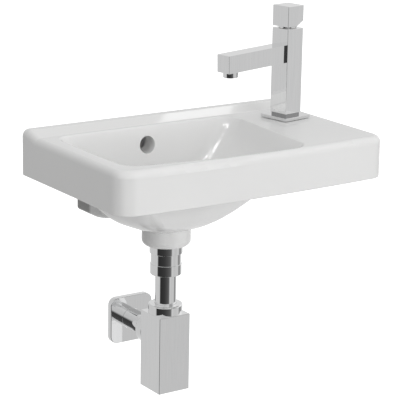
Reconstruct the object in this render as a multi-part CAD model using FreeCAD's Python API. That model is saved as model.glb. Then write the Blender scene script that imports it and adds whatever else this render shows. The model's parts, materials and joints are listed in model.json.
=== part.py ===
"""Small wall hung basin with a side tap deck, pillar mixer, click waste and square bottle trap.

Millimetres, +Z up, +Y towards the wall, +X to the right of someone who stands at the basin.
The origin lies on the wall face, midway between the two fixing studs.
"""
import FreeCAD, Part
import math
import os

from FreeCAD import Placement, Rotation, Vector

# ---------------------------------------------------------------- driving dimensions

# Ceramic basin
basin_width = 454.0           # across the wall
basin_depth = 280.0           # wall to the middle of the front
front_bow = 6.0               # how far the front's middle stands ahead of its ends
apron_height = 61.5
apron_wall = 12.0             # thickness of the hanging apron and of the back slab
deck_thickness = 14.0
front_corner_r = 28.0
top_edge_r = 10.5
bottom_edge_r = 1.5
upstand_height = 7.0          # low ledge along the wall, above the rim
upstand_top = 11.0            # its flat top, from the wall
upstand_foot = 37.0           # where its sloping face meets the rim
upstand_foot_r = 10.0
upstand_brow_r = 14.0

# Mouth of the bowl, a soft four sided shape that leaves a tap deck at the right
rim_left = 30.0               # rim between the bowl and the basin's left side
deck_back = 121.0             # tap deck between the bowl and the basin's right side
deck_front = 141.0
mouth_behind = 8.0            # bowl in front of the foot of the ledge, at the left
mouth_behind_right = 12.0      # the same at the right
rim_front_left = 40.0
rim_front_right = 15.5
rim_front_middle = 17.0
mouth_middle_x = -55.0         # where the front of the mouth bows forward most
mouth_corner_r = 25.0
mouth_middle_r = 200.0
lip_flare = 3.5               # the mouth widens by this over its first tenth
flare_share = 0.1
lip_r = 5.0

# Bowl
bowl_depth = 110.0            # rim to the floor round the drain
bowl_wall = 10.0
belly_depth = 136.0           # rim to the lowest point of the bowl's outside
bowl_curves = (2.0, 1.5, 1.6, 1.7, 1.9)   # 1 gives straight sides, higher rounder; from the back left
belly_curves = (2.6, 1.5, 1.5, 1.6, 1.6)
floor_half = 35.0             # half width of the flat floor round the drain
belly_half = 37.0
floor_round = 0.9             # rounding of the floor as a share of its half width
floor_nose = 1.5              # the floor's front side stands this far out at its middle
bowl_levels = (0.0, 0.03, 0.1, 0.25, 0.42, 0.6, 0.77, 0.9, 0.97, 1.0)

# Drain and overflow
drain_x = -46.0
drain_y = -104.5
drain_gap = 1.55              # round the screwed waste in the drain hole
boss_d = 73.0
boss_bottom = 166.0           # below the rim
boss_edge_r = 9.0
seat_gap = 1.5                # round the waste flange in its recess
overflow_d = 26.0
overflow_drop = 27.0          # below the rim
duct_width = 40.0             # hidden overflow duct in the rear block
duct_depth = 12.0
duct_wall = 12.0              # ceramic between the duct and the wall
duct_floor_drop = 131.0
duct_channel_height = 11.0
duct_skin = 3.0               # ceramic below the channel
block_gap = 2.0               # between the rear block and the flange of the left bush
block_depth = 73.0
block_bottom = 126.0          # below the rim
block_edge_r = 6.0
block_corner_r = 28.0         # upright corners of the rear block

# Wall fixings
rim_above_studs = 42.0
stud_pitch = 300.0
stud_d = 10.0
stud_behind_wall = 60.0
stud_wall_d = 9.0             # screwed end in the wall
stud_past_nut = 4.0
stud_hole_d = 14.0
bush_flange_d = 24.0
bush_flange = 2.5
fixing_clearance = 0.1
washer_d = 22.0
washer_thickness = 2.0
wall_nut_flats = 17.0
wall_nut_corner = 1.1         # turned corners, share of the flats
wall_nut_height = 8.0

# Waste, from the floor of the bowl down
flange_d = 63.0
flange_thickness = 3.0
flange_seal_thickness = 1.0
seal_inset = 1.0              # rings set in from the edge above them
plug_side_gap = 0.3
flange_recess = 1.6
thread_d = 41.9               # one and a quarter inch pipe thread
waste_bore_d = 37.0
slot_width = 14.0
slot_height = 11.0
spider_height = 8.0
spider_bar = 5.0
spider_boss_d = 16.0
spider_drop = 42.0            # below the floor of the bowl
boss_seal_width = 2.0
boss_seal_thickness = 3.0
boss_seal_proud = 0.4
backnut_d = 49.5
backnut_bottom = 178.2        # below the rim, as the four that follow
sleeve_bottom = 194.7
coupling_bottom = 210.6
trap_top = 270.6
trap_bottom = 389.2
sleeve_d = 45.6
coupling_nut_d = 47.2
coupling_lip = 2.4
coupling_seal_thickness = 2.0
pipe_collar = 1.4
pipe_collar_d = 40.0
seal_play = 0.5               # radial, seals in their nuts
thread_fit = 0.05             # radial, screwed and sliding parts
nut_edge_r = 1.2

# Click plug
plug_d = 50.0
plug_thickness = 2.4
plug_running_gap = 0.3
plug_spigot_d = 33.0
plug_spigot = 7.0
plug_seal_gap = 0.1
plug_seal_height = 2.4
plug_stem_d = 6.0
plug_stem_length = 24.0
plug_travel = 8.0
click_d = 12.0
click_length = 28.0
click_floor = 3.0

# Square bottle trap
pipe_d = 32.0
pipe_wall = 1.5
trap_size = 53.0
trap_edge_r = 0.8
trap_bore_d = 42.0
trap_thread_step = 1.0
cleanout_play = 0.1
cleanout_inset = 2.0
trap_nut_d = 51.6
trap_nut_height = 14.0
trap_nut_edge = 2.6
trap_nut_spigot = 9.0
trap_nut_thread_d = 40.0
trap_shelf = 4.0
gland_seal_thickness = 3.0
gland_fit = 0.2               # radial, pipe in nuts and shelves
cleanout_thickness = 6.0
cleanout_ring = 2.0
cleanout_recess = 0.5
cleanout_key = 12.0           # square key hole in the plug
dip_gap = 10.0                # end of the dip pipe above the trap's floor

# Outlet to the wall
outlet_drop = 309.0           # outlet axis below the rim
outlet_behind_wall = 18.0
outlet_end_d = 31.6           # turned end that goes into the wall's rubber sleeve
socket_d = 39.0
socket_length = 17.0
socket_thread_d = 35.6
outlet_nut_d = 46.0
outlet_nut_length = 16.0
rose_size = 73.0
rose_thickness = 9.0
rose_wall = 1.6
rose_corner_r = 12.0
rose_edge_r = 1.0

# Mixer tap
tap_from_right = 56.2         # tap axis from the basin's right side
tap_y = -97.5
tap_turn = 9.7                # degrees, spout turned towards the front
tap_size = 32.6
tap_edge_r = 0.5
plate_size = 52.5
plate_thickness = 5.4
plate_edge_r = 0.6
gasket_thickness = 0.6
gasket_inset = 4.0
foot_gap = 3.6
foot_inset = 1.6
body_top = 137.8              # above the rim
tap_hole_gap = 0.8
shank_d = 33.4
shank_length = 9.0
spigot_d = 24.0
spigot_height = 16.0
spout_width = 25.0
spout_height = 26.4
spout_top = 113.8
spout_reach = 134.4           # tap axis to the end of the spout
spout_drop = 1.6              # degrees, the spout falls this much towards its end
spout_wall = 2.4
spout_edge_r = 0.4
spout_tenon = 3.0
spout_tenon_inset = 3.0
aerator_inset = 15.0          # aerator axis from the end of the spout
aerator_d = 22.4
aerator_proud = 8.0
aerator_sunk = 8.0
aerator_wall = 1.6
insert_recess = 1.2
insert_height = 9.0
water_way_d = 5.0
water_way_offset = 7.0
body_channel_d = 10.0
body_channel_drop = 7.0       # channel middle below the cartridge

# Hose inlets and deck fixing
inlet_thread_d = 10.0
inlet_depth = 12.0
inlet_offset = 8.0
inlet_forward = 3.0           # towards the spout from the tap's axis
tap_stud_d = 8.0
tap_stud_offset = 11.0
tap_stud_length = 52.0
tap_stud_depth = 10.0
shoe_d = 46.0
shoe_slot = 27.0
shoe_gasket = 3.0
shoe_plate = 2.5
tap_nut_flats = 13.0
tap_nut_height = 12.0

# Cartridge and lever
cartridge_bore_d = 27.0
cartridge_gap = 0.7
cartridge_depth = 33.0        # below the top of the tap body, as the three that follow
cartridge_top = 7.0
ring_nut_top = 1.4
tilt_depth = 8.0
cartridge_base = 3.0
chamber_wall = 1.8
disc_thickness = 4.0
disc_gap = 0.05
disc_port_d = 4.0
slider_width = 10.0
slider_length = 12.0
slider_corner_r = 2.0
slider_pocket = 2.4
pocket_clearance = 0.3
carrier_shaft_d = 15.0
carrier_flange_step = 1.5
carrier_flange = 1.5
carrier_gap = 0.15
carrier_cap_d = 28.4
carrier_cap_height = 2.2
carrier_cap_gap = 0.3
clevis_slot = 6.4
clevis_front = 5.2            # reach of the slot to either side of the tilt axis
clevis_back = 9.2
tilt_pin_d = 3.0
tilt_pin_length = 13.0
lever_width = 6.0
lever_eye_d = 8.0
lever_tail = 8.0
lever_ball_d = 4.0
lever_neck_d = 2.6

# Knob
knob_size = 32.6
knob_gap = 3.0
knob_height = 31.2
knob_wall = 1.7
knob_top_wall = 5.0
knob_edge_r = 0.5
knob_bevel_length = 14.0
knob_bevel_height = 8.0
knob_boss_d = 16.0
knob_boss_gap = 9.0           # foot of its inner boss above the knob's lower edge
stem_in_boss = 13.0
grub_d = 4.0
grub_length = 4.6
grub_rise = 6.0               # above the foot of the inner boss

# ---------------------------------------------------------------- places that follow

rim = rim_above_studs
mouth_left = basin_width / 2 - rim_left
mouth_right_back = basin_width / 2 - deck_back
mouth_right_front = basin_width / 2 - deck_front
mouth_back_left = upstand_foot + mouth_behind
mouth_back_right = upstand_foot + mouth_behind_right
mouth_front_left = basin_depth - rim_front_left
mouth_front_middle = basin_depth - rim_front_middle
mouth_front_right = basin_depth - rim_front_right
seat_d = flange_d + 2 * seat_gap
drain_hole_d = thread_d + 2 * drain_gap
flange_recess_d = plug_d + 2 * plug_side_gap
boss_seal_d = thread_d + 2 * boss_seal_width
plug_seal_d = waste_bore_d - 2 * plug_seal_gap
tap_x = basin_width / 2 - tap_from_right
block_half = stud_pitch / 2 + drain_x - bush_flange_d / 2 - block_gap
tap_hole_d = shank_d + 2 * tap_hole_gap
trap_thread_d = trap_bore_d + 2 * trap_thread_step
cartridge_d = cartridge_bore_d - 2 * cartridge_gap
chamber_d = cartridge_d - 2 * chamber_wall
carrier_flange_d = carrier_shaft_d + 2 * carrier_flange_step
floor_z = rim - bowl_depth
seat_z = floor_z - flange_thickness - flange_seal_thickness
boss_z = rim - boss_bottom
axis_down = (drain_x, drain_y)
pipe_r = pipe_d / 2
outlet_z = rim - outlet_drop
trap_back_y = drain_y + trap_size / 2
cleanout_z = rim - trap_bottom + cleanout_recess
trap_floor_z = cleanout_z + cleanout_thickness
deck_under = rim - deck_thickness
body_bottom = plate_thickness + foot_gap
knob_bottom = body_top + knob_gap
knob_top = knob_bottom + knob_height
tilt_z = body_top - tilt_depth
cartridge_bottom = body_top - cartridge_depth

# ---------------------------------------------------------------- helpers


def box(x0, x1, y0, y1, z0, z1):
    return Part.makeBox(x1 - x0, y1 - y0, z1 - z0, Vector(x0, y0, z0))


def post(diameter, z0, z1, at=(0.0, 0.0)):
    """Upright cylinder."""
    return Part.makeCylinder(diameter / 2, z1 - z0, Vector(at[0], at[1], z0))


def bar(diameter, start, end):
    """Round bar between two points."""
    along = end.sub(start)
    return Part.makeCylinder(diameter / 2, along.Length, start, along)


def tube(outer_d, inner_d, z0, z1, at=(0.0, 0.0)):
    return post(outer_d, z0, z1, at).cut(post(inner_d, z0, z1, at))


def square_post(size, z0, z1, at=(0.0, 0.0)):
    half = size / 2
    return box(at[0] - half, at[0] + half, at[1] - half, at[1] + half, z0, z1)


def hexagon(flats, z0, z1, at=(0.0, 0.0)):
    corner = flats / math.sqrt(3.0)
    points = [Vector(at[0] + corner * math.cos(math.radians(60 * i)),
                     at[1] + corner * math.sin(math.radians(60 * i)), z0) for i in range(7)]
    return Part.Face(Part.makePolygon(points)).extrude(Vector(0, 0, z1 - z0))


def edges_at(shape, test):
    """Edges whose every sample point passes the test."""
    chosen = []
    for edge in shape.Edges:
        samples = edge.discretize(3)
        if all(test(p) for p in samples):
            chosen.append(edge)
    return chosen


def level(z, near=0.01):
    return lambda p: abs(p.z - z) < near


def rounded(shape, radius, test):
    return shape.makeFillet(radius, edges_at(shape, test))


def bevelled(shape, size, test):
    return shape.makeChamfer(size, edges_at(shape, test))


def soft_outline(corners, radii, z):
    """Closed wire through the corners, each one rounded by its own arc."""
    count = len(corners)
    ends = []
    for i, (x, y) in enumerate(corners):
        here = Vector(x, y, z)
        before = Vector(*corners[i - 1], z).sub(here).normalize()
        after = Vector(*corners[(i + 1) % count], z).sub(here).normalize()
        half = before.getAngle(after) / 2
        reach = radii[i] / math.tan(half)
        inward = before.add(after).normalize()
        middle = here.add(inward * (radii[i] / math.sin(half) - radii[i]))
        ends.append((here.add(before * reach), middle, here.add(after * reach)))
    edges = []
    for i in range(count):
        start, middle, end = ends[i]
        edges.append(Part.Arc(start, middle, end).toShape())
        edges.append(Part.makeLine(end, ends[(i + 1) % count][0]))
    return Part.Wire(edges)


def along_y(shape, x, z):
    """Turn an upright shape so that its +Z runs to the wall, then carry it to x and z."""
    shape.Placement = Placement(Vector(x, 0, z), Rotation(Vector(1, 0, 0), -90))
    return shape


def on_tap(shape):
    """Carry a shape from the tap's own frame, spout along -X, to its place on the deck."""
    place = Placement(Vector(tap_x, tap_y, rim), Rotation(Vector(0, 0, 1), tap_turn))
    shape.Placement = place.multiply(shape.Placement)
    return shape


def single(shape):
    return shape.removeSplitter()


def save(name, *solids):
    shape = solids[0] if len(solids) == 1 else Part.makeCompound(list(solids))
    bad = [s for s in shape.Solids if not s.isValid() or s.Volume <= 0]
    print(name, len(shape.Solids), "solid(s)", round(shape.Volume), "mm3", "BAD" if bad else "")
    shape.exportStep("parts/" + name + ".step")


# ---------------------------------------------------------------- ceramic basin


def apron_outline(inset, z):
    """Plan of the basin with its bowed front, moved in by inset."""
    side = basin_width / 2 - inset
    front = -(basin_depth - front_bow) + inset
    nose = -basin_depth + inset
    r = front_corner_r - min(inset, front_corner_r / 2)
    turn = r * math.sqrt(0.5)

    def front_corner(sign):
        centre = Vector(sign * (side - r), front + r, z)
        return (Vector(sign * side, centre.y, z), centre.add(Vector(sign * turn, -turn, 0)),
                Vector(centre.x, front, z))

    left = front_corner(-1)
    right = front_corner(1)
    left_back = Vector(-side, -inset, z)
    right_back = Vector(side, -inset, z)
    return Part.Wire([
        Part.makeLine(right_back, left_back),
        Part.makeLine(left_back, left[0]),
        Part.Arc(left[0], left[1], left[2]).toShape(),
        Part.Arc(left[2], Vector(0, nose, z), right[2]).toShape(),
        Part.Arc(right[2], right[1], right[0]).toShape(),
        Part.makeLine(right[0], right_back)])


def apron_block(inset, z0, z1):
    return Part.Face(apron_outline(inset, z0)).extrude(Vector(0, 0, z1 - z0))


def upstand():
    """Ledge along the wall, its sloping face easing into the rim and into its flat top."""
    left = -basin_width / 2
    top = rim + upstand_height
    slope = math.atan2(upstand_height, upstand_foot - upstand_top)
    foot_reach = upstand_foot_r * math.tan(slope / 2)
    brow_reach = upstand_brow_r * math.tan(slope / 2)

    def ease(y, z, reach, radius, sign):
        """Arc that turns the level line into the slope, or back, about the corner y, z."""
        low = Vector(left, y - reach * (1 if sign > 0 else math.cos(slope)),
                     z if sign > 0 else z - reach * math.sin(slope))
        high = Vector(left, y + reach * (math.cos(slope) if sign > 0 else 1),
                      z + reach * math.sin(slope) if sign > 0 else z)
        sag = radius / math.cos(slope / 2) - radius
        middle = Vector(left, y - sign * sag * math.sin(slope / 2),
                        z + sign * sag * math.cos(slope / 2))
        return low, middle, high

    foot = ease(-upstand_foot, rim, foot_reach, upstand_foot_r, 1)
    brow = ease(-upstand_top, top, brow_reach, upstand_brow_r, -1)
    base_z = rim - top_edge_r
    back_top = Vector(left, 0, top)
    back_low = Vector(left, 0, base_z)
    front_low = Vector(left, foot[0].y, base_z)
    profile = Part.Wire([
        Part.Arc(foot[0], foot[1], foot[2]).toShape(),
        Part.makeLine(foot[2], brow[0]),
        Part.Arc(brow[0], brow[1], brow[2]).toShape(),
        Part.makeLine(brow[2], back_top),
        Part.makeLine(back_top, back_low),
        Part.makeLine(back_low, front_low),
        Part.makeLine(front_low, foot[0])])
    return Part.Face(profile).extrude(Vector(basin_width, 0, 0))


def mouth(grow):
    """Corners of the bowl's mouth from the back left, anticlockwise from below."""
    return [(-mouth_left - grow, -mouth_back_left + grow),
            (mouth_right_back + grow, -mouth_back_right + grow),
            (mouth_right_front + grow, -mouth_front_right - grow),
            (mouth_middle_x, -mouth_front_middle - grow),
            (-mouth_left - grow, -mouth_front_left - grow)]


def bowl_shape(grow, depth, curves, half, flare):
    """Smooth bowl from its mouth down to a small flat round the drain."""
    floor = [(-half, half), (half, half), (half, -half), (0, -half - floor_nose), (-half, -half)]
    small = floor_round * half
    sections = []
    for share in bowl_levels:
        open_by = grow + flare * max(0.0, 1 - share / flare_share) ** 2
        corners = []
        for (mx, my), (fx, fy), curve in zip(mouth(open_by), floor, curves):
            wide = (1.0 - share) ** (1.0 / curve)
            corners.append((drain_x + fx + (mx - drain_x - fx) * wide,
                            drain_y + fy + (my - drain_y - fy) * wide))
        wide = (1.0 - share) ** (1.0 / min(curves))
        radii = [small + (mouth_corner_r + open_by - small) * wide] * 5
        radii[3] = small + (mouth_middle_r - small) * wide
        sections.append(soft_outline(corners, radii, rim - depth * share))
    return Part.makeLoft(sections, True, False)


def rear_block():
    """Ceramic behind the bowl, which meets the wall and holds the overflow duct."""
    bottom = rim - block_bottom
    block = box(drain_x - block_half, drain_x + block_half, -block_depth, 0, bottom, deck_under)
    block = rounded(block, block_corner_r, lambda p: abs(p.y + block_depth) < 0.01
                    and abs(abs(p.x - drain_x) - block_half) < 0.01)
    return rounded(block, block_edge_r, lambda p: level(bottom)(p) and p.y < -0.01)


def saddle():
    """Joins the rear block to the bowl and closes in the channel to the drain."""
    half = slot_width + duct_wall
    bottom = rim - duct_floor_drop - duct_skin
    shape = box(drain_x - half, drain_x + half, drain_y + boss_d / 2 - boss_edge_r, 0,
                bottom, rim - bowl_depth + duct_channel_height)
    return rounded(shape, bottom_edge_r, lambda p: level(bottom)(p)
                   and abs(abs(p.x - drain_x) - half) < 0.01)


def boss():
    shape = post(boss_d, boss_z, rim - belly_depth + bowl_wall, axis_down)
    return rounded(shape, boss_edge_r, level(boss_z))


def overflow_way():
    """Round inlet in the bowl's back, a duct down the rear block and a channel to the drain."""
    z_in = rim - overflow_drop
    duct_front = -duct_wall - duct_depth
    duct_floor = rim - duct_floor_drop
    inlet = bar(overflow_d, Vector(drain_x, -duct_wall - duct_depth / 2, z_in),
                Vector(drain_x, drain_y, z_in))
    duct = box(drain_x - duct_width / 2, drain_x + duct_width / 2, duct_front, -duct_wall,
               duct_floor, z_in + overflow_d / 2)
    channel = box(drain_x - slot_width, drain_x + slot_width, drain_y, -duct_wall,
                  duct_floor, duct_floor + duct_channel_height)
    return [inlet, duct, channel]


def drain_way():
    hole = post(drain_hole_d, boss_z - 1, floor_z, axis_down)
    seat = post(seat_d, seat_z, floor_z + 1, axis_down)
    seal_seat = post(boss_seal_d + 2 * gland_fit, boss_z - 1,
                     boss_z + boss_seal_thickness - boss_seal_proud, axis_down)
    return [hole, seat, seal_seat]


def outer_shell():
    shell = single(apron_block(0, rim - apron_height, rim).fuse(upstand()))
    shell = rounded(shell, bottom_edge_r,
                    lambda p: level(rim - apron_height)(p) and p.y < -0.01)
    side = basin_width / 2
    inside = side - front_corner_r
    return rounded(shell, top_edge_r,
                   lambda p: p.z > rim - 0.01 and (abs(abs(p.x) - side) < 0.01
                   or level(rim)(p) and p.y < -basin_depth / 2 and outline_point(p, inside)))


def outline_point(p, inside):
    """On the front of the plan or on one of its front corners."""
    if abs(p.x) <= inside + 0.01:
        return p.y < -(basin_depth - front_bow) + 0.01
    return p.y < -(basin_depth - front_bow - front_corner_r) + 0.01


def basin():
    shell = outer_shell()
    shell = shell.cut(apron_block(apron_wall, rim - apron_height - 1, deck_under))
    belly = bowl_shape(bowl_wall, belly_depth, belly_curves, belly_half, 0.0)
    belly = belly.common(apron_block(bottom_edge_r, rim - boss_bottom, deck_under + 1))
    shell = shell.fuse([belly, rear_block(), saddle(), boss()])
    bowl = bowl_shape(0.0, bowl_depth, bowl_curves, floor_half, lip_flare)
    holes = [bowl] + overflow_way() + drain_way()
    holes.append(post(tap_hole_d, deck_under - 1, rim + 1, (tap_x, tap_y)))
    for x in (-stud_pitch / 2, stud_pitch / 2):
        holes.append(bar(stud_hole_d, Vector(x, -apron_wall - 1, 0), Vector(x, 1, 0)))
    shell = single(shell.cut(holes))
    return rounded(shell, lip_r, lambda p: level(rim)(p) and in_mouth(p))


def in_mouth(p):
    """Within the bounds of the bowl's mouth, so not on the tap hole or the outer edge."""
    reach = lip_flare + 1
    return (-mouth_left - reach < p.x < mouth_right_back + reach
            and -mouth_front_right - reach < p.y < -mouth_back_left + reach)


# ---------------------------------------------------------------- wall fixings

bush_y = -apron_wall - bush_flange
washer_y = bush_y - washer_thickness
wall_nut_y = washer_y - wall_nut_height


def at_each_stud(make):
    return [make(x) for x in (-stud_pitch / 2, stud_pitch / 2)]


def hanger_bolt(x):
    start = wall_nut_y - stud_past_nut
    inner = bevelled(post(stud_d, start, 0), stud_d / 8, level(start))
    outer = bevelled(post(stud_wall_d, 0, stud_behind_wall), stud_wall_d / 4,
                     level(stud_behind_wall))
    return along_y(single(inner.fuse(outer)), x, 0)


def stud_bush(x):
    inner = stud_d + 2 * fixing_clearance
    sleeve = tube(stud_hole_d - 2 * fixing_clearance, inner, -apron_wall, 0)
    flange = tube(bush_flange_d, inner, bush_y, -apron_wall)
    return along_y(single(sleeve.fuse(flange)), x, 0)


def wall_washer(x):
    return along_y(tube(washer_d, stud_d + 2 * fixing_clearance, washer_y, bush_y), x, 0)


def wall_nut(x):
    nut = hexagon(wall_nut_flats, wall_nut_y, washer_y)
    nut = nut.common(post(wall_nut_corner * wall_nut_flats, wall_nut_y, washer_y))
    return along_y(nut.cut(post(stud_d + 2 * thread_fit, wall_nut_y, washer_y)), x, 0)


# ---------------------------------------------------------------- waste and click plug

recess_floor = floor_z - flange_recess
plug_bottom = recess_floor + plug_running_gap
stem_bottom = plug_bottom - plug_spigot - plug_stem_length
spider_top = floor_z - spider_drop
spider_bottom = spider_top - spider_height
click_bottom = spider_bottom - click_floor
pipe_top = rim - coupling_bottom + coupling_lip + pipe_collar
waste_end = pipe_top + coupling_seal_thickness


def waste_body():
    """Flanged, screwed tube with two overflow slots and a bar that carries the click insert."""
    flange_z = floor_z - flange_thickness
    body = post(flange_d, flange_z, floor_z, axis_down)
    body = rounded(body, flange_thickness / 3, level(floor_z))
    body = body.fuse(post(thread_d, waste_end, flange_z, axis_down))
    body = body.cut(post(waste_bore_d, waste_end, floor_z, axis_down))
    body = body.cut(post(flange_recess_d, recess_floor, floor_z + 1, axis_down))
    slot_z = rim - duct_floor_drop
    slots = box(drain_x - slot_width / 2, drain_x + slot_width / 2, drain_y - thread_d,
                drain_y + thread_d, slot_z, slot_z + slot_height)
    body = body.cut(slots)
    reach = (waste_bore_d + thread_d) / 4
    spider = box(drain_x - reach, drain_x + reach, drain_y - spider_bar / 2,
                 drain_y + spider_bar / 2, spider_bottom, spider_top)
    spider = spider.fuse(post(spider_boss_d, spider_bottom, spider_top, axis_down))
    body = body.fuse(spider)
    return single(body.cut(post(click_d + 2 * thread_fit, spider_bottom - 1, spider_top + 1,
                                axis_down)))


def waste_flange_seal():
    return tube(flange_d - 2 * seal_inset, drain_hole_d, seat_z, seat_z + flange_seal_thickness, axis_down)


def waste_boss_seal():
    top = boss_z + boss_seal_thickness - boss_seal_proud
    return tube(boss_seal_d, thread_d + 2 * thread_fit, boss_z - boss_seal_proud, top, axis_down)


def waste_backnut():
    top = boss_z - boss_seal_proud
    bottom = rim - backnut_bottom
    nut = rounded(post(backnut_d, bottom, top, axis_down), nut_edge_r / 2, lambda p: True)
    return nut.cut(post(thread_d + 2 * thread_fit, bottom - 1, top + 1, axis_down))


def waste_sleeve():
    """Plain bright sleeve over the screwed tail of the waste."""
    return tube(sleeve_d, thread_d + 2 * thread_fit, rim - sleeve_bottom, rim - backnut_bottom,
                axis_down)


def click_insert():
    """Sealed click insert: blind at its foot, open at the top for the plug's stem."""
    top = click_bottom + click_length
    body = post(click_d, click_bottom, top, axis_down)
    return body.cut(post(plug_stem_d + 2 * thread_fit, click_bottom + click_floor, top + 1,
                         axis_down))


def plug_cap():
    cap = post(plug_d, plug_bottom, plug_bottom + plug_thickness, axis_down)
    cap = rounded(cap, plug_thickness / 3, level(plug_bottom + plug_thickness))
    spigot = post(plug_spigot_d, plug_bottom - plug_spigot, plug_bottom, axis_down)
    stem = post(plug_stem_d, stem_bottom, plug_bottom, axis_down)
    return single(cap.fuse([spigot, stem]))


def plug_seal():
    middle = plug_bottom - plug_spigot / 2
    ring = post(plug_seal_d, middle - plug_seal_height / 2, middle + plug_seal_height / 2,
                axis_down)
    ring = rounded(ring, plug_seal_height / 3, lambda p: True)
    return ring.cut(post(plug_spigot_d + 2 * thread_fit, middle - plug_seal_height,
                         middle + plug_seal_height, axis_down))


# ---------------------------------------------------------------- trap

trap_top_z = rim - trap_top
trap_bottom_z = rim - trap_bottom
nut_foot_z = trap_top_z - trap_nut_spigot
shelf_z = nut_foot_z - gland_seal_thickness
ring_z = trap_floor_z
pipe_hole_d = pipe_d + 2 * gland_fit


def coupling_nut():
    top = rim - sleeve_bottom
    bottom = rim - coupling_bottom
    nut = rounded(post(coupling_nut_d, bottom, top, axis_down), nut_edge_r, level(bottom))
    nut = nut.cut(post(thread_d + 2 * thread_fit, bottom + coupling_lip, top + 1, axis_down))
    return nut.cut(post(pipe_hole_d, bottom - 1, top, axis_down))


def coupling_seal():
    return tube(thread_d - 2 * seal_play, pipe_d, pipe_top, waste_end, axis_down)


def inlet_pipe():
    """Bright pipe from the waste down into the trap, where it dips below the water."""
    bottom = trap_floor_z + dip_gap
    collar_z = pipe_top - pipe_collar
    pipe = post(pipe_d, bottom, pipe_top, axis_down)
    pipe = pipe.fuse(post(pipe_collar_d, collar_z, pipe_top, axis_down))
    return single(pipe.cut(post(pipe_d - 2 * pipe_wall, bottom - 1, pipe_top + 1, axis_down)))


def trap_nut():
    top = trap_top_z + trap_nut_height
    nut = post(trap_nut_d, trap_top_z, top, axis_down)
    nut = rounded(nut, trap_nut_edge, level(top))
    nut = nut.fuse(post(trap_nut_thread_d - 2 * thread_fit, nut_foot_z, trap_top_z, axis_down))
    return single(nut.cut(post(pipe_hole_d, nut_foot_z - 1, top + 1, axis_down)))


def trap_seal():
    return tube(trap_nut_thread_d - 2 * seal_play, pipe_d + 2 * thread_fit, shelf_z, nut_foot_z, axis_down)


def trap_body():
    """Square housing, bored from below, with a screwed mouth for the nut and a side outlet."""
    body = square_post(trap_size, trap_bottom_z, trap_top_z, axis_down)
    body = rounded(body, trap_edge_r, lambda p: True)
    bore_top = shelf_z - trap_shelf
    holes = [post(trap_nut_thread_d, shelf_z, trap_top_z + 1, axis_down),
             post(pipe_hole_d, bore_top - 1, shelf_z + 1, axis_down),
             post(trap_bore_d, trap_floor_z, bore_top, axis_down),
             post(trap_thread_d, trap_bottom_z - 1, trap_floor_z + cleanout_ring, axis_down),
             bar(socket_thread_d, Vector(drain_x, drain_y, outlet_z),
                 Vector(drain_x, trap_back_y + 1, outlet_z))]
    return single(body.cut(holes))


def cleanout_plug():
    plug = post(trap_thread_d - 2 * thread_fit, cleanout_z, trap_floor_z, axis_down)
    key = square_post(cleanout_key, cleanout_z - 1, cleanout_z + cleanout_thickness / 2, axis_down)
    return plug.cut(key)


def cleanout_seal():
    return tube(trap_thread_d - 2 * cleanout_play, trap_bore_d - 2 * cleanout_inset, ring_z, ring_z + cleanout_ring, axis_down)


# ---------------------------------------------------------------- outlet

socket_end = trap_back_y + socket_length
outlet_seal_end = socket_end + coupling_seal_thickness
outlet_nut_end = outlet_seal_end + coupling_lip
outlet_stop = trap_back_y - (trap_size - trap_bore_d) / 2


def outlet(shape):
    return along_y(shape, drain_x, outlet_z)


def outlet_socket():
    """Screwed into the trap's back: holds the end of the outlet pipe against a stop."""
    bore = pipe_d - 2 * pipe_wall
    shape = post(socket_d, trap_back_y, socket_end)
    shape = shape.fuse(post(socket_thread_d - 2 * thread_fit, outlet_stop, trap_back_y))
    shape = shape.cut(post(bore, outlet_stop - 1, trap_back_y + 1))
    return outlet(single(shape.cut(post(pipe_hole_d, trap_back_y, socket_end + 1))))


def outlet_seal():
    return outlet(tube(socket_d - 2 * seal_play, pipe_d + 2 * thread_fit, socket_end, outlet_seal_end))


def outlet_nut():
    start = outlet_nut_end - outlet_nut_length
    nut = rounded(post(outlet_nut_d, start, outlet_nut_end), nut_edge_r, lambda p: True)
    nut = nut.cut(post(socket_d + 2 * thread_fit, start - 1, outlet_seal_end))
    return outlet(nut.cut(post(pipe_hole_d, start, outlet_nut_end + 1)))


def outlet_pipe():
    pipe = post(pipe_d, trap_back_y, 0).fuse(post(outlet_end_d, 0, outlet_behind_wall))
    return outlet(single(pipe.cut(post(pipe_d - 2 * pipe_wall, trap_back_y, outlet_behind_wall))))


def wall_rose():
    """Hollow square cover plate that slides along the pipe and closes on the wall."""
    def plate(inset, y0, y1):
        half = rose_size / 2 - inset
        corners = [(-half, half), (half, half), (half, -half), (-half, -half)]
        wire = soft_outline(corners, [rose_corner_r - inset] * 4, y0)
        return Part.Face(wire).extrude(Vector(0, 0, y1 - y0))

    shape = rounded(plate(0, -rose_thickness, 0), rose_edge_r, level(-rose_thickness))
    shape = shape.cut(plate(rose_wall, -rose_thickness + rose_wall, 1))
    return outlet(shape.cut(post(pipe_hole_d, -rose_thickness - 1, 1)))


# ---------------------------------------------------------------- tap, in its own frame


def soften(shape, radius):
    return shape.makeFillet(radius, shape.Edges)


def hose_holes(z0, z1):
    return [post(inlet_thread_d, z0, z1, (-inlet_forward, side * inlet_offset)) for side in (-1, 1)]


def tap_base():
    """Square plate with a shank through the deck, two screwed hose inlets and a spigot."""
    plate = soften(square_post(plate_size, gasket_thickness, plate_thickness), plate_edge_r)
    shank_end = -shank_length
    parts = [post(shank_d, shank_end, gasket_thickness + plate_edge_r),
             post(spigot_d, plate_thickness - plate_edge_r, plate_thickness + spigot_height)]
    shape = plate.fuse(parts)
    ways = [post(water_way_d, shank_end, plate_thickness + spigot_height + 1,
                 (0, side * water_way_offset)) for side in (-1, 1)]
    stud = post(tap_stud_d, shank_end - 1, shank_end + tap_stud_depth, (tap_stud_offset, 0))
    holes = hose_holes(shank_end - 1, shank_end + inlet_depth)
    return single(shape.cut(ways + holes + [stud]))


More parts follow.
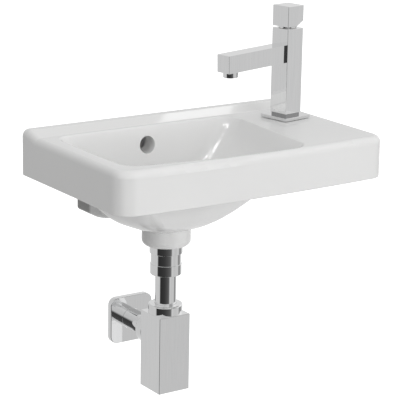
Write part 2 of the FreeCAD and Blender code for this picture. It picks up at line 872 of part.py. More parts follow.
def base_gasket():
    plate = square_post(plate_size - 2 * gasket_inset, 0, gasket_thickness)
    return plate.cut(post(shank_d + 2 * thread_fit, -1, gasket_thickness + 1))


def foot_ring():
    ring = square_post(tap_size - 2 * foot_inset, plate_thickness, body_bottom)
    return ring.cut(post(spigot_d + 2 * thread_fit, plate_thickness - 1, body_bottom + 1))


def tap_body():
    """Square pillar: bored for the cartridge at the top and for the base spigot below."""
    body = soften(square_post(tap_size, body_bottom, body_top), tap_edge_r)
    spigot_top = plate_thickness + spigot_height
    half = tap_size / 2
    channel_z = cartridge_bottom - body_channel_drop
    holes = [post(cartridge_bore_d, cartridge_bottom, body_top + 1),
             post(spigot_d + 2 * thread_fit, body_bottom - 1, spigot_top),
             bar(body_channel_d, Vector(-half, 0, channel_z),
                 Vector(-water_way_offset, 0, channel_z)),
             post(water_way_d, channel_z, cartridge_bottom + 1, (-water_way_offset, 0)),
             spout_seat(half)]
    for side in (-1, 1):
        holes.append(post(water_way_d, spigot_top - 1, cartridge_bottom + 1,
                          (0, side * water_way_offset)))
    for hole in holes:
        body = body.cut(hole)
    return single(body)


def spout_seat(half):
    """Shallow recess in the body that takes the spout's tenon."""
    inset = spout_tenon_inset - thread_fit
    return box(-half - 1, -half + spout_tenon, -spout_width / 2 + inset, spout_width / 2 - inset,
               spout_top - spout_height + inset, spout_top - inset)


def sloped(shape):
    """Turn a shape of the level spout down about the top of its root."""
    shape.rotate(Vector(-tap_size / 2, 0, spout_top), Vector(0, 1, 0), -spout_drop)
    return shape


def spout():
    """Square spout, hollow from end to end, with a bore at its tip for the aerator."""
    root = -tap_size / 2
    half = spout_width / 2
    low = spout_top - spout_height
    arm = box(-spout_reach, root + spout_tenon, -half, half, low, spout_top)
    arm = sloped(rounded(arm, spout_edge_r, lambda p: p.x < root + spout_tenon - 0.01))
    arm = arm.cut(box(root, root + 2 * spout_tenon, -half - 1, half + 1, low - 1, spout_top + 1))
    tenon = box(root - 1, root + spout_tenon, -half + spout_tenon_inset, half - spout_tenon_inset,
                low + spout_tenon_inset, spout_top - spout_tenon_inset)
    hollow_inset = spout_tenon_inset + spout_wall
    hollow = box(-spout_reach + spout_wall + spout_edge_r, root + spout_tenon + 1,
                 -half + hollow_inset, half - hollow_inset, low + hollow_inset,
                 spout_top - hollow_inset)
    bore = post(aerator_d + 2 * thread_fit, low - 1, low + aerator_sunk, (aerator_x(), 0))
    throat = post(aerator_d - 2 * aerator_wall, low, low + spout_height / 2, (aerator_x(), 0))
    return single(arm.fuse(tenon).cut([sloped(hollow), sloped(bore), sloped(throat)]))


def aerator_x():
    return -spout_reach + aerator_inset


def aerator_housing():
    low = spout_top - spout_height
    bottom = low - aerator_proud
    at = (aerator_x(), 0)
    shape = rounded(post(aerator_d, bottom, low + aerator_sunk, at), tap_edge_r, level(bottom))
    return sloped(shape.cut(post(aerator_d - 2 * aerator_wall, bottom - 1,
                                 low + aerator_sunk + 1, at)))


def aerator_insert():
    bottom = spout_top - spout_height - aerator_proud + insert_recess
    at = (aerator_x(), 0)
    return sloped(post(aerator_d - 2 * aerator_wall - 2 * thread_fit, bottom,
                       bottom + insert_height, at))


# ---------------------------------------------------------------- tap deck fixing

shoe_top = -deck_thickness
shoe_plate_top = shoe_top - shoe_gasket
shoe_bottom = shoe_plate_top - shoe_plate


def tap_stud():
    top = -shank_length + tap_stud_depth
    return post(tap_stud_d - 2 * thread_fit, top - tap_stud_length, top, (tap_stud_offset, 0))


def shoe(z0, z1, size):
    """Horseshoe that clears the two hoses and is held by the stud."""
    disc = post(size, z0, z1)
    mouth_cut = box(-size, tap_stud_offset - tap_stud_d, -shoe_slot / 2, shoe_slot / 2,
                    z0 - 1, z1 + 1)
    hole = post(tap_stud_d + 2 * fixing_clearance, z0 - 1, z1 + 1, (tap_stud_offset, 0))
    return disc.cut([mouth_cut, hole])


def shoe_gasket_ring():
    return shoe(shoe_plate_top, shoe_top, shoe_d)


def shoe_plate_ring():
    return shoe(shoe_bottom, shoe_plate_top, shoe_d - 2 * seal_inset)


def tap_stud_nut():
    nut = hexagon(tap_nut_flats, shoe_bottom - tap_nut_height, shoe_bottom, (tap_stud_offset, 0))
    return nut.cut(post(tap_stud_d, shoe_bottom - tap_nut_height - 1, shoe_bottom + 1,
                        (tap_stud_offset, 0)))


# ---------------------------------------------------------------- cartridge and lever

housing_top = body_top - cartridge_top
fixed_disc_z = cartridge_bottom + cartridge_base
slider_z = fixed_disc_z + disc_thickness + disc_gap
tail_end = tilt_z - lever_tail
slider_top = tail_end + slider_pocket - pocket_clearance
shaft_bottom = slider_top + carrier_gap
chamber_top = shaft_bottom + carrier_flange + carrier_gap
cap_bottom = body_top + carrier_cap_gap
cap_top = cap_bottom + carrier_cap_height
boss_foot = knob_bottom + knob_boss_gap
ports = ((0, water_way_offset), (0, -water_way_offset), (-water_way_offset, 0))


def cartridge_housing():
    """Housing open below, with a bearing at its top that keeps the carrier's flange in."""
    shell = post(cartridge_d, cartridge_bottom, housing_top)
    chamber = post(chamber_d, cartridge_bottom - 1, chamber_top)
    bearing = post(carrier_shaft_d + 2 * thread_fit, chamber_top - 1, housing_top + 1)
    return single(shell.cut([chamber, bearing]))


def ported(diameter, z0, z1, port_d):
    return post(diameter - 2 * thread_fit, z0, z1).cut([post(port_d, z0 - 1, z1 + 1, at)
                                                        for at in ports])


def cartridge_foot():
    return ported(chamber_d, cartridge_bottom, fixed_disc_z, water_way_d)


def fixed_disc():
    return ported(chamber_d, fixed_disc_z, fixed_disc_z + disc_thickness, disc_port_d)


def cartridge_ring_nut():
    top = body_top - ring_nut_top
    ring = post(cartridge_bore_d - 2 * thread_fit, housing_top, top)
    return ring.cut(post(carrier_shaft_d + 2 * fixing_clearance, housing_top - 1, top + 1))


def slider_disc():
    """Upper disc with its driver: slides over the fixed disc, moved by the lever's tail."""
    half_x = slider_length / 2
    half_y = slider_width / 2
    disc = box(-half_x, half_x, -half_y, half_y, slider_z, slider_top)
    disc = rounded(disc, slider_corner_r, lambda p: abs(abs(p.x) - half_x) < 0.01
                   and abs(abs(p.y) - half_y) < 0.01)
    return disc.cut(post(lever_ball_d + 2 * pocket_clearance, slider_top - slider_pocket,
                         slider_top + 1))


def swivel_carrier():
    """Shaft that turns in the housing and carries the tilt pin, with the round cap on top."""
    shaft = post(carrier_shaft_d, shaft_bottom, cap_top)
    flange = post(carrier_flange_d, shaft_bottom, shaft_bottom + carrier_flange)
    cap = post(carrier_cap_d, cap_bottom, cap_top)
    slot = box(-clevis_front, clevis_back, -clevis_slot / 2, clevis_slot / 2,
               shaft_bottom - 1, cap_top + 1)
    hole = bar(tilt_pin_d, Vector(0, -carrier_shaft_d, tilt_z), Vector(0, carrier_shaft_d, tilt_z))
    return single(shaft.fuse([flange, cap]).cut([slot, hole]))


def tilt_pin():
    half = tilt_pin_length / 2
    return bar(tilt_pin_d, Vector(0, -half, tilt_z), Vector(0, half, tilt_z))


def lever():
    """Eye on the tilt pin, stem up into the knob and ball tail down into the slider."""
    half = lever_width / 2
    eye = bar(lever_eye_d, Vector(0, -half, tilt_z), Vector(0, half, tilt_z))
    stem = post(lever_width, tilt_z, boss_foot + stem_in_boss)
    ball_z = tail_end + lever_ball_d / 2
    ball = Part.makeSphere(lever_ball_d / 2, Vector(0, 0, ball_z))
    tail = post(lever_neck_d, ball_z, tilt_z)
    hole = bar(tilt_pin_d + 2 * thread_fit, Vector(0, -lever_width, tilt_z),
               Vector(0, lever_width, tilt_z))
    return single(eye.fuse([stem, tail, ball]).cut(hole))


def knob():
    """Hollow cube with an inner boss for the lever and a bevel that lets it tilt back."""
    half = knob_size / 2
    block = square_post(knob_size, knob_bottom, knob_top)
    bevel = Part.makePolygon([Vector(half - knob_bevel_length, -half, knob_bottom),
                              Vector(half, -half, knob_bottom),
                              Vector(half, -half, knob_bottom + knob_bevel_height),
                              Vector(half - knob_bevel_length, -half, knob_bottom)])
    block = block.cut(Part.Face(bevel).extrude(Vector(0, knob_size, 0)))
    block = soften(block, knob_edge_r)
    inside = square_post(knob_size - 2 * knob_wall, knob_bottom - 1, knob_top - knob_top_wall)
    boss_post = post(knob_boss_d, boss_foot, knob_top - knob_top_wall)
    stem_hole = post(lever_width + 2 * thread_fit, boss_foot - 1, boss_foot + stem_in_boss + 1)
    return single(block.cut(inside.cut(boss_post)).cut([stem_hole, grub_hole()]))


def grub_level():
    return boss_foot + grub_rise


def grub_hole():
    return bar(grub_d + 2 * thread_fit, Vector(0, 0, grub_level()),
               Vector(knob_size, 0, grub_level()))


def knob_grub_screw():
    start = lever_width / 2 + thread_fit
    return bar(grub_d, Vector(start, 0, grub_level()), Vector(start + grub_length, 0, grub_level()))


def main():
    os.makedirs("parts", exist_ok=True)
    save("basin", basin())
    save("hanger_bolts", *at_each_stud(hanger_bolt))
    save("stud_bushes", *at_each_stud(stud_bush))
    save("wall_washers", *at_each_stud(wall_washer))
    save("wall_nuts", *at_each_stud(wall_nut))
    save("waste_body", waste_body())
    save("waste_flange_seal", waste_flange_seal())
    save("waste_boss_seal", waste_boss_seal())
    save("waste_backnut", waste_backnut())
    save("waste_sleeve", waste_sleeve())
    save("click_insert", click_insert())
    save("plug_cap", plug_cap())
    save("plug_seal", plug_seal())
    save("coupling_nut", coupling_nut())
    save("coupling_seal", coupling_seal())
    save("inlet_pipe", inlet_pipe())
    save("trap_nut", trap_nut())
    save("trap_seal", trap_seal())
    save("trap_body", trap_body())
    save("cleanout_plug", cleanout_plug())
    save("cleanout_seal", cleanout_seal())
    save("outlet_socket", outlet_socket())
    save("outlet_seal", outlet_seal())
    save("outlet_nut", outlet_nut())
    save("outlet_pipe", outlet_pipe())
    save("wall_rose", wall_rose())
    save("tap_base", on_tap(tap_base()))
    save("base_gasket", on_tap(base_gasket()))
    save("foot_ring", on_tap(foot_ring()))
    save("tap_body", on_tap(tap_body()))
    save("spout", on_tap(spout()))
    save("aerator_housing", on_tap(aerator_housing()))
    save("aerator_insert", on_tap(aerator_insert()))
    save("tap_stud", on_tap(tap_stud()))
    save("shoe_gasket", on_tap(shoe_gasket_ring()))
    save("shoe_plate", on_tap(shoe_plate_ring()))
    save("tap_stud_nut", on_tap(tap_stud_nut()))
    save("cartridge_housing", on_tap(cartridge_housing()))
    save("cartridge_foot", on_tap(cartridge_foot()))
    save("cartridge_ring_nut", on_tap(cartridge_ring_nut()))
    save("fixed_disc", on_tap(fixed_disc()))
    save("slider_disc", on_tap(slider_disc()))
    save("swivel_carrier", on_tap(swivel_carrier()))
    save("tilt_pin", on_tap(tilt_pin()))
    save("lever", on_tap(lever()))
    save("knob", on_tap(knob()))
    save("knob_grub_screw", on_tap(knob_grub_screw()))


main()
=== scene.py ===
"""Looks of the wall hung basin: glazed ceramic, bright chrome and the small fittings."""
import bpy
import bmesh
import json
import math
from mathutils import Matrix, Vector


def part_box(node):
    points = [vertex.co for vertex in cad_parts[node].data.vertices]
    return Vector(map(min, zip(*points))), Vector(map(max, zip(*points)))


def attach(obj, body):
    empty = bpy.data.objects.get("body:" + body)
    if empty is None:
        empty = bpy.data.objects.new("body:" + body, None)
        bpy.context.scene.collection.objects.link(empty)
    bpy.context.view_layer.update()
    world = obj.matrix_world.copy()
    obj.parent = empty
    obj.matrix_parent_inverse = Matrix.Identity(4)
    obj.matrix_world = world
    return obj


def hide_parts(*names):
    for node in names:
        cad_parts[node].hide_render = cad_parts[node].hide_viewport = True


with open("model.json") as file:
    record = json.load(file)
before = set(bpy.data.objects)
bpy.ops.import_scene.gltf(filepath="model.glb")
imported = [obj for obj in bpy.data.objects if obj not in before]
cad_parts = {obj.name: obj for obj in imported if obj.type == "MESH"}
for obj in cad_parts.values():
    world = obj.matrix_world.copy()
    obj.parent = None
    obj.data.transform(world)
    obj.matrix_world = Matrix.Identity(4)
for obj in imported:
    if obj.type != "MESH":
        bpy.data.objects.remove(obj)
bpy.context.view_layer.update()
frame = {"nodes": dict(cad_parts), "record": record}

# ---------------------------------------------------------------- view of the photograph

LENS_MM = 157.55
SENSOR_MM = 36.0
FAR_CLIP = 60.0
CAMERA_AT = Vector((-1.3920, -2.1779, 0.6080))
LOOK_AT = Vector((0.0036, -0.1180, -0.0605))
CAMERA_ROLL = math.radians(1.01)


def make_camera():
    data = bpy.data.cameras.new("view")
    data.lens = LENS_MM
    data.sensor_width = SENSOR_MM
    data.clip_end = FAR_CLIP
    camera = bpy.data.objects.new("view", data)
    forward = (LOOK_AT - CAMERA_AT).normalized()
    right = forward.cross(Vector((0, 0, 1))).normalized()
    up = right.cross(forward)
    turned_right = right * math.cos(CAMERA_ROLL) + up * math.sin(CAMERA_ROLL)
    turned_up = turned_right.cross(forward)
    axes = Matrix((turned_right, turned_up, -forward)).transposed()
    camera.matrix_world = Matrix.Translation(CAMERA_AT) @ axes.to_4x4()
    bpy.context.scene.collection.objects.link(camera)
    bpy.context.scene.camera = camera


# ---------------------------------------------------------------- material tools

NOISE_RANGE = (0.3, 0.7)  # nearly all values of a noise texture lie between these
MIX_FIRST, MIX_SECOND, MIX_RESULT = 6, 7, 2  # colour sockets of a Mix node

# Painted shade: the bare back is coloured dark grey to stand in for the shade and dark reflection
# there.
# The clay is bare towards the wall and below the ledge. Each pair is the start and end of a blend.
SHADE_BEHIND_Y = (-0.040, -0.032)
SHADE_BELOW_Z = (-0.024, -0.018)
SHADED_CLAY_DARK = (0.30, 0.30, 0.295)
SHADED_CLAY_LIGHT = (0.46, 0.46, 0.45)


class Nodes:
    """A material's node tree with short calls for adding and joining nodes."""

    def __init__(self, name):
        self.material = bpy.data.materials.new(name)
        self.material.use_nodes = True
        self.tree = self.material.node_tree
        self.shader = self.tree.nodes["Principled BSDF"]
        self.place = self.add("ShaderNodeTexCoord").outputs["Object"]

    def add(self, kind, **inputs):
        node = self.tree.nodes.new(kind)
        for key, value in inputs.items():
            node.inputs[key.replace("_", " ")].default_value = value
        return node

    def join(self, source, target):
        self.tree.links.new(source, target)

    def set(self, **values):
        for key, value in values.items():
            self.shader.inputs[key.replace("_", " ")].default_value = value

    def noise(self, scale, detail=2.0, roughness=0.5, place=None):
        node = self.add("ShaderNodeTexNoise", Scale=scale, Detail=detail, Roughness=roughness)
        self.join(place or self.place, node.inputs["Vector"])
        return node.outputs["Fac"]

    def blend(self, source, span, start, end):
        """Value that runs from start to end while source runs through span."""
        node = self.add("ShaderNodeMapRange", From_Min=span[0], From_Max=span[1],
                        To_Min=start, To_Max=end)
        self.join(source, node.inputs["Value"])
        return node.outputs["Result"]

    def mix_colour(self, source, first, second):
        """Mix of two colours, each a triple or the output of a node."""
        node = self.add("ShaderNodeMix")
        node.data_type = "RGBA"
        self.join(source, node.inputs["Factor"])
        for socket, colour in ((MIX_FIRST, first), (MIX_SECOND, second)):
            if isinstance(colour, tuple):
                node.inputs[socket].default_value = (*colour, 1.0)
            else:
                self.join(colour, node.inputs[socket])
        return node.outputs[MIX_RESULT]

    def mottle(self, noise, first, second):
        """Two colours in soft patches, with the noise spread over their whole difference."""
        return self.mix_colour(self.blend(noise, NOISE_RANGE, 0.0, 1.0), first, second)

    def shaded_bare_back(self, glazed, noise):
        """Unglazed clay on the basin's back and on the rear block beside the wall, coloured dark
        grey as painted shade and painted dark reflection.
        """
        split = self.add("ShaderNodeSeparateXYZ")
        self.join(self.place, split.inputs[0])
        shade_mask = self.add("ShaderNodeMath")
        shade_mask.operation = "MULTIPLY"
        self.join(self.blend(split.outputs["Y"], SHADE_BEHIND_Y, 0.0, 1.0), shade_mask.inputs[0])
        self.join(self.blend(split.outputs["Z"], SHADE_BELOW_Z, 1.0, 0.0), shade_mask.inputs[1])
        shaded_clay = self.mottle(noise, SHADED_CLAY_DARK, SHADED_CLAY_LIGHT)
        return self.mix_colour(shade_mask.outputs[0], glazed, shaded_clay)

    def colour(self, source):
        self.join(source, self.shader.inputs["Base Color"])

    def roughness(self, noise, smoothest, roughest):
        self.join(self.blend(noise, NOISE_RANGE, smoothest, roughest),
                  self.shader.inputs["Roughness"])

    def bump(self, source, strength, distance):
        node = self.add("ShaderNodeBump", Strength=strength, Distance=distance)
        self.join(source, node.inputs["Height"])
        self.join(node.outputs["Normal"], self.shader.inputs["Normal"])


# ---------------------------------------------------------------- finishes

STREAK_SQUEEZE = (1.0, 1.0, 0.02)  # draws noise out into upright streaks
MOULDED_SPREAD = (0.85, 1.1)       # smoothest and roughest spots of a moulded part, as shares


def glaze():
    m = Nodes("white_glaze")
    m.set(Metallic=0.0, IOR=1.5, Coat_Weight=0.0)
    tone = m.noise(scale=9.0, detail=3.0)
    white = m.mottle(tone, (0.865, 0.865, 0.86), (0.885, 0.885, 0.88))
    # painted shade: the back beside the wall is coloured dark grey
    m.colour(m.shaded_bare_back(white, tone))
    m.roughness(m.noise(scale=40.0), smoothest=0.04, roughest=0.07)
    m.bump(m.noise(scale=55.0, detail=1.0), strength=0.04, distance=0.002)
    return m.material


def chrome(name, low, high):
    """Bright chrome with noise drawn out along its height, so flat faces carry faint upright
    streaks in the colour.
    """
    m = Nodes(name)
    m.set(Metallic=1.0)
    drawn = m.add("ShaderNodeMapping", Scale=STREAK_SQUEEZE)
    m.join(m.place, drawn.inputs["Vector"])
    streaks = m.noise(scale=900.0, detail=3.0, roughness=0.6, place=drawn.outputs["Vector"])
    m.colour(m.mottle(streaks, low, high))
    m.roughness(m.noise(scale=120.0, detail=3.0), smoothest=0.025, roughest=0.06)
    return m.material


def plain_metal(name, dark, light, tone_scale, grain_scale, smoothest, roughest):
    m = Nodes(name)
    m.set(Metallic=1.0)
    m.colour(m.mix_colour(m.noise(tone_scale, detail=3.0), dark, light))
    m.roughness(m.noise(grain_scale), smoothest, roughest)
    return m.material


def moulded(name, dark, light, rough):
    m = Nodes(name)
    m.colour(m.mix_colour(m.noise(scale=180.0, detail=3.0), dark, light))
    m.roughness(m.noise(scale=400.0), *(rough * share for share in MOULDED_SPREAD))
    m.bump(m.noise(scale=900.0, detail=1.0), strength=0.08, distance=0.0004)
    return m.material


def dress_nodes():
    """Gives each node the finish of its slot, and two nodes at the tap's foot darker chrome as
    painted shade.
    """
    finishes = {
        "ceramic": glaze(),
        "chrome": chrome("polished_chrome", (0.845, 0.85, 0.855), (0.905, 0.905, 0.905)),
        "zinc_steel": plain_metal("zinc_plated_steel", (0.55, 0.55, 0.53), (0.68, 0.68, 0.64),
                                  tone_scale=200.0, grain_scale=300.0,
                                  smoothest=0.25, roughest=0.42),
        "brass": plain_metal("turned_brass", (0.62, 0.45, 0.18), (0.72, 0.55, 0.25),
                             tone_scale=150.0, grain_scale=260.0, smoothest=0.2, roughest=0.35),
        "black_rubber": moulded("black_rubber", (0.012, 0.012, 0.012), (0.025, 0.025, 0.025), 0.7),
        "white_plastic": moulded("white_plastic", (0.70, 0.70, 0.68), (0.78, 0.78, 0.76), 0.4),
        "black_plastic": moulded("black_plastic", (0.010, 0.010, 0.011), (0.02, 0.02, 0.02), 0.35),
        "disc_ceramic": moulded("lapped_ceramic", (0.72, 0.71, 0.68), (0.8, 0.79, 0.76), 0.2),
    }
    for part in frame["record"]["subparts"]:
        node = frame["nodes"][part["node"]]
        node.data.materials.clear()
        node.data.materials.append(finishes[part["material_slot"]])
    # Painted shade and painted dark reflection: darker copies of the chrome for the recessed foot
    # ring and the base plate.
    shaded_chromes = {
        "foot_ring": chrome("shaded_chrome", (0.33, 0.33, 0.335), (0.42, 0.42, 0.42)),
        "tap_base": chrome("shaded_plate_chrome", (0.73, 0.73, 0.735), (0.80, 0.80, 0.80)),
    }
    for name, finish in shaded_chromes.items():
        frame["nodes"][name].data.materials[0] = finish
    return finishes


# ---------------------------------------------------------------- small fittings


def add_piece(name, build, body, slot, finish, *replaced):
    """A mesh piece made by build(bm), on a body of the frame, with the finish of its slot."""
    bm = bmesh.new()
    build(bm)
    bmesh.ops.recalc_face_normals(bm, faces=bm.faces[:])
    mesh = bpy.data.meshes.new(name)
    bm.to_mesh(mesh)
    bm.free()
    mesh.materials.append(finish)
    piece = bpy.data.objects.new(name, mesh)
    bpy.context.scene.collection.objects.link(piece)
    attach(piece, body)
    if replaced:
        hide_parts(*replaced)


def tube(bm, loops):
    """Skin over loops of vertices that all have the same number, closed by a face at both ends."""
    count = len(loops[0])
    for low, high in zip(loops, loops[1:]):
        for i in range(count):
            j = (i + 1) % count
            bm.faces.new((low[i], low[j], high[j], high[i]))
    bm.faces.new(loops[0])
    bm.faces.new(loops[-1])


def turned(bm, start, along, rings, sides=28):
    """Closed turned shape: rings of (distance along, radius as a number or function of angle)."""
    along = along.normalized()
    across = along.orthogonal().normalized()
    third = along.cross(across)
    loops = []
    for distance, radius in rings:
        loop = []
        for i in range(sides):
            angle = 2 * math.pi * i / sides
            r = radius(angle) if callable(radius) else radius
            offset = across * (r * math.cos(angle)) + third * (r * math.sin(angle))
            loop.append(bm.verts.new(start + along * distance + offset))
        loops.append(loop)
    tube(bm, loops)


def screw_rings(start, length, radius, pitch, depth, steps=6):
    """Rings of a screw thread: a ridge that climbs one pitch in each turn."""
    def at(distance):
        def radius_at(angle):
            turn = (distance / pitch - angle / (2 * math.pi)) % 1.0
            return radius - depth * abs(2 * turn - 1)
        return radius_at
    count = int(length / pitch * steps)
    return [(start + length * i / count, at(length * i / count)) for i in range(count + 1)]


# Metres. A hanger bolt has a machine thread in front of the wall and a wood thread in it.
MACHINE_THREAD = {"radius": 0.005, "pitch": 0.0015, "depth": 0.0008}
WOOD_THREAD = {"radius": 0.0045, "pitch": 0.003, "depth": 0.0009}
CLAMP_THREAD = {"radius": 0.004, "pitch": 0.00125, "depth": 0.0007}
NOSE_RADIUS = 0.0040
NOSE_CHAMFER = 0.0012
MACHINE_PLAIN = 0.0018    # what the machine thread leaves plain at its two ends together
NECK_RADIUS = 0.0043
NECK_LENGTH = 0.012
WOOD_PLAIN = 0.022        # what the neck and the point take from the length in the wall
POINT_START, POINT_RADIUS = 0.0045, 0.0030
TIP_INSET, TIP_RADIUS = 0.0001, 0.0006
CLAMP_END_RADIUS = 0.0031
CLAMP_CHAMFER = 0.001


def screw_threads(finishes):
    low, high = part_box("hanger_bolts")
    nose, end = low[1], high[1]

    def studs(bm):
        radius = MACHINE_THREAD["radius"]
        for x in (low[0] + radius, high[0] - radius):
            z = (low[2] + high[2]) / 2
            rings = [(0.0, NOSE_RADIUS)]
            rings += screw_rings(NOSE_CHAMFER, -nose - MACHINE_PLAIN, **MACHINE_THREAD)
            rings += [(-nose, NECK_RADIUS), (NECK_LENGTH - nose, NECK_RADIUS)]
            rings += screw_rings(NECK_LENGTH - nose, end - WOOD_PLAIN, **WOOD_THREAD)
            rings += [(end - nose - POINT_START, POINT_RADIUS),
                      (end - nose - TIP_INSET, TIP_RADIUS)]
            turned(bm, Vector((x, nose, z)), Vector((0, 1, 0)), rings)

    add_piece("stud_threads", studs, "basin_and_fittings", "zinc_steel",
              finishes["zinc_steel"], "hanger_bolts")

    low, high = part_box("tap_stud")

    def clamp_stud(bm):
        length = high[2] - low[2]
        rings = [(0.0, CLAMP_END_RADIUS)]
        rings += screw_rings(CLAMP_CHAMFER, length - CLAMP_CHAMFER, **CLAMP_THREAD)
        turned(bm, Vector(((low[0] + high[0]) / 2, (low[1] + high[1]) / 2, low[2])),
               Vector((0, 0, 1)), rings)

    add_piece("clamp_stud_thread", clamp_stud, "basin_and_fittings", "zinc_steel",
              finishes["zinc_steel"], "tap_stud")


GRID_MARGIN = 0.0008        # between the grid and the edge of the insert
GRID_STEP = 0.0021
GRID_HALF_WIDTH = 0.00028
GRID_HALF_HEIGHT = 0.0004
GRID_LAYER_DROP = 0.0002    # how much lower the crossing bars lie
GRID_SHORTEST = 0.002       # half the length under which a bar is left out


def aerator_grid(finishes):
    """Fine plastic grid across the mouth of the aerator."""
    low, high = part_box("aerator_insert")
    centre = Vector(((low[0] + high[0]) / 2, (low[1] + high[1]) / 2, low[2]))
    reach = (high[0] - low[0]) / 2 - GRID_MARGIN
    section = [(-GRID_HALF_WIDTH, -GRID_HALF_HEIGHT), (GRID_HALF_WIDTH, -GRID_HALF_HEIGHT),
               (GRID_HALF_WIDTH, GRID_HALF_HEIGHT), (-GRID_HALF_WIDTH, GRID_HALF_HEIGHT)]

    def bar(bm, axis, offset, half_length):
        loops = []
        for along in (-half_length, half_length):
            loop = []
            for across, up in section:
                point = Vector((0, 0, up - GRID_LAYER_DROP * axis))
                point[axis] = along
                point[1 - axis] = offset + across
                loop.append(bm.verts.new(centre + point))
            loops.append(loop)
        tube(bm, loops)

    def grid(bm):
        count = int(reach / GRID_STEP)
        for axis in (0, 1):
            for i in range(-count, count + 1):
                offset = i * GRID_STEP
                half_length = math.sqrt(max(reach * reach - offset * offset, 0.0))
                if half_length >= GRID_SHORTEST:
                    bar(bm, axis, offset, half_length)

    add_piece("aerator_grid", grid, "basin_and_fittings", "white_plastic",
              finishes["white_plastic"])


# ---------------------------------------------------------------- studio

# What polished surfaces mirror all round, as (bearing in degrees, grey level), below and above
# eye height. Bearing 0 is in front (-Y), 90 at the left (-X), 180 behind and 270 at the right.
LOW_RING = [(0, 0.13), (8, 0.10), (20, 0.075), (40, 0.045), (60, 0.035), (84, 0.03), (90, 0.02),
            (95, 0.25), (99, 0.62), (150, 0.62), (175, 0.66), (215, 0.95), (250, 0.9), (266, 0.35),
            (288, 0.25), (297, 0.64), (325, 0.58), (335, 0.60), (349, 0.66), (353, 0.25),
            (360, 0.13)]
HIGH_RING = [(0, 0.75), (40, 0.6), (90, 0.7), (150, 0.6), (180, 0.62), (207, 0.72), (240, 0.84),
             (270, 1.0), (300, 0.85), (320, 0.42), (345, 0.42), (360, 0.75)]
RING_CHANGE = (-0.05, 0.15)  # sines of the heights between which low gives way to high

# Soft fill from all round: an even level, a lean towards one side, and more from above and below.
FILL_LEVEL = 0.385
FILL_LEAN = (0.16, -0.10, 0.04)
FILL_POLES = 0.47


def grey(level):
    return (level, level, level, 1.0)


def ring(tree, angle, stops):
    ramp = tree.nodes.new("ShaderNodeValToRGB")
    ends = ramp.color_ramp.elements
    ends[0].position, ends[0].color = stops[0][0] / 360.0, grey(stops[0][1])
    ends[1].position, ends[1].color = stops[-1][0] / 360.0, grey(stops[-1][1])
    for degrees, level in stops[1:-1]:
        ends.new(degrees / 360.0).color = grey(level)
    tree.links.new(angle, ramp.inputs["Fac"])
    return ramp.outputs["Color"]


def make_world():
    """Studio: white for the camera, soft fill for the shading, and the rings for mirroring."""
    world = bpy.data.worlds.new("studio")
    bpy.context.scene.world = world
    world.use_nodes = True
    tree = world.node_tree
    tree.nodes.clear()
    join = tree.links.new

    def add(kind):
        return tree.nodes.new(kind)

    def maths(operation, *values):
        """Result of a maths node, where each value is a number or the output of a node."""
        node = add("ShaderNodeMath")
        node.operation = operation
        for socket, value in zip(node.inputs, values):
            if isinstance(value, float):
                socket.default_value = value
            else:
                join(value, socket)
        return node.outputs[0]

    def share(source, low, high):
        node = add("ShaderNodeMapRange")
        node.inputs["From Min"].default_value = low
        node.inputs["From Max"].default_value = high
        join(source, node.inputs["Value"])
        return node.outputs["Result"]

    def light(colour):
        node = add("ShaderNodeBackground")
        if isinstance(colour, float):
            node.inputs["Color"].default_value = grey(colour)
        else:
            join(colour, node.inputs["Color"])
        return node.outputs[0]

    def choose(factor, first, second):
        node = add("ShaderNodeMixShader")
        join(factor, node.inputs["Fac"])
        join(first, node.inputs[1])
        join(second, node.inputs[2])
        return node.outputs[0]

    way = add("ShaderNodeTexCoord").outputs["Generated"]
    split = add("ShaderNodeSeparateXYZ")
    join(way, split.inputs[0])
    x, y, z = split.outputs
    angle = share(maths("ARCTAN2", x, y), -math.pi, math.pi)
    height = share(z, *RING_CHANGE)
    low = light(ring(tree, angle, LOW_RING))
    high = light(ring(tree, angle, HIGH_RING))
    mirrored = choose(height, low, high)

    lean = add("ShaderNodeVectorMath")
    lean.operation = "DOT_PRODUCT"
    lean.inputs[1].default_value = FILL_LEAN
    join(way, lean.inputs[0])
    poles = maths("MULTIPLY", z, z)
    uneven = maths("MULTIPLY_ADD", poles, FILL_POLES, lean.outputs["Value"])
    fill = light(maths("ADD", uneven, FILL_LEVEL))

    path = add("ShaderNodeLightPath").outputs
    soft = choose(path["Is Glossy Ray"], fill, mirrored)
    whole = choose(path["Is Camera Ray"], soft, light(1.0))
    join(whole, add("ShaderNodeOutputWorld").inputs["Surface"])


FLOOR_HALF = 15.0
FLOOR_LEVEL = -0.808


def make_floor():
    """Plain pale floor, clear from below so that the underside can be looked at."""
    material = bpy.data.materials.new("pale_floor")
    material.use_nodes = True
    tree = material.node_tree
    shader = tree.nodes["Principled BSDF"]
    shader.inputs["Base Color"].default_value = grey(0.5)
    shader.inputs["Roughness"].default_value = 0.9
    shader.inputs["Emission Color"].default_value = grey(1.0)
    shader.inputs["Emission Strength"].default_value = 1.0
    clear = tree.nodes.new("ShaderNodeBsdfTransparent")
    side = tree.nodes.new("ShaderNodeNewGeometry")
    one_way = tree.nodes.new("ShaderNodeMixShader")
    tree.links.new(side.outputs["Backfacing"], one_way.inputs["Fac"])
    tree.links.new(shader.outputs[0], one_way.inputs[1])
    tree.links.new(clear.outputs[0], one_way.inputs[2])
    tree.links.new(one_way.outputs[0], tree.nodes["Material Output"].inputs["Surface"])
    mesh = bpy.data.meshes.new("floor")
    corners = [(x * FLOOR_HALF, y * FLOOR_HALF, FLOOR_LEVEL)
               for x, y in ((-1, -1), (1, -1), (1, 1), (-1, 1))]
    mesh.from_pydata(corners, [], [(0, 1, 2, 3)])
    mesh.materials.append(material)
    floor = bpy.data.objects.new("floor", mesh)
    bpy.context.scene.collection.objects.link(floor)
    floor.visible_glossy = False
    floor.visible_diffuse = False


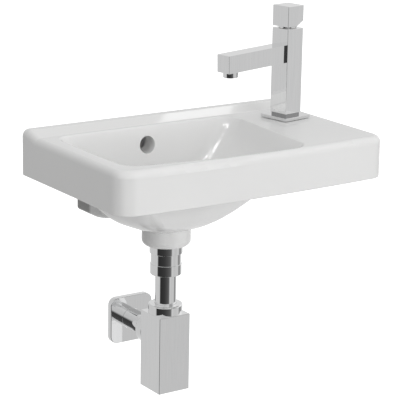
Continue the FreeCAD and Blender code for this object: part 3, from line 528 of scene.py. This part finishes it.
def area_light(name, at, towards, size, power, only=None):
    """Soft rectangular light. With only given, just those objects are lit by it and mirror it."""
    data = bpy.data.lights.new(name, "AREA")
    data.shape = "RECTANGLE"
    data.size, data.size_y = size
    data.energy = power
    lamp = bpy.data.objects.new(name, data)
    lamp.location = at
    lamp.rotation_euler = (Vector(towards) - Vector(at)).to_track_quat("-Z", "Y").to_euler()
    bpy.context.scene.collection.objects.link(lamp)
    if only:
        lit = bpy.data.collections.new(name + "_reaches")
        for target in only:
            lit.objects.link(target)
        lamp.light_linking.receiver_collection = lit
    return lamp


def far_point(bearing, height, away=3.0):
    """Place of a lamp from its bearing, measured as in the rings, and its height in degrees."""
    turn, lift = math.radians(bearing - 180), math.radians(height)
    return (away * math.sin(turn) * math.cos(lift), away * math.cos(turn) * math.cos(lift),
            away * math.sin(lift))


# Each lamp: name, place, what it is aimed at, size in metres, watts. The soft lamps shade and are
# never mirrored. The panes shade nothing and are mirrored by the glaze alone.
SOFT_LAMPS = [
    ("key", (0.25, -3.2, 0.5), (0, -0.1, 0), (1.5, 1.3), 26),
    ("bounce", (-0.3, -2.1, -1.4), (-0.05, -0.1, -0.12), (1.0, 1.0), 14),
    ("side", far_point(75, 42), (0.1, -0.1, 0), (1.0, 1.0), 10),
]
PANES = [
    ("pane_a", far_point(44, 58), (0, -0.1, 0), (0.12, 0.5), 8.0),
    ("pane_b", far_point(70, 58), (0, -0.1, 0), (0.05, 0.5), 3.6),
    ("pane_c", far_point(88, 58), (0, -0.1, 0), (0.1, 0.5), 6.0),
    ("pane_behind", far_point(224, 36), (0.11, 0, 0.04), (0.2, 0.6), 0.6),
]


def light_studio():
    for lamp in SOFT_LAMPS:
        area_light(*lamp).visible_glossy = False
    for lamp in PANES:
        area_light(*lamp, [frame["nodes"]["basin"]]).visible_diffuse = False


scene = bpy.context.scene
scene.view_settings.view_transform = "Standard"
make_camera()
finishes = dress_nodes()
screw_threads(finishes)
aerator_grid(finishes)
make_world()
make_floor()
light_studio()
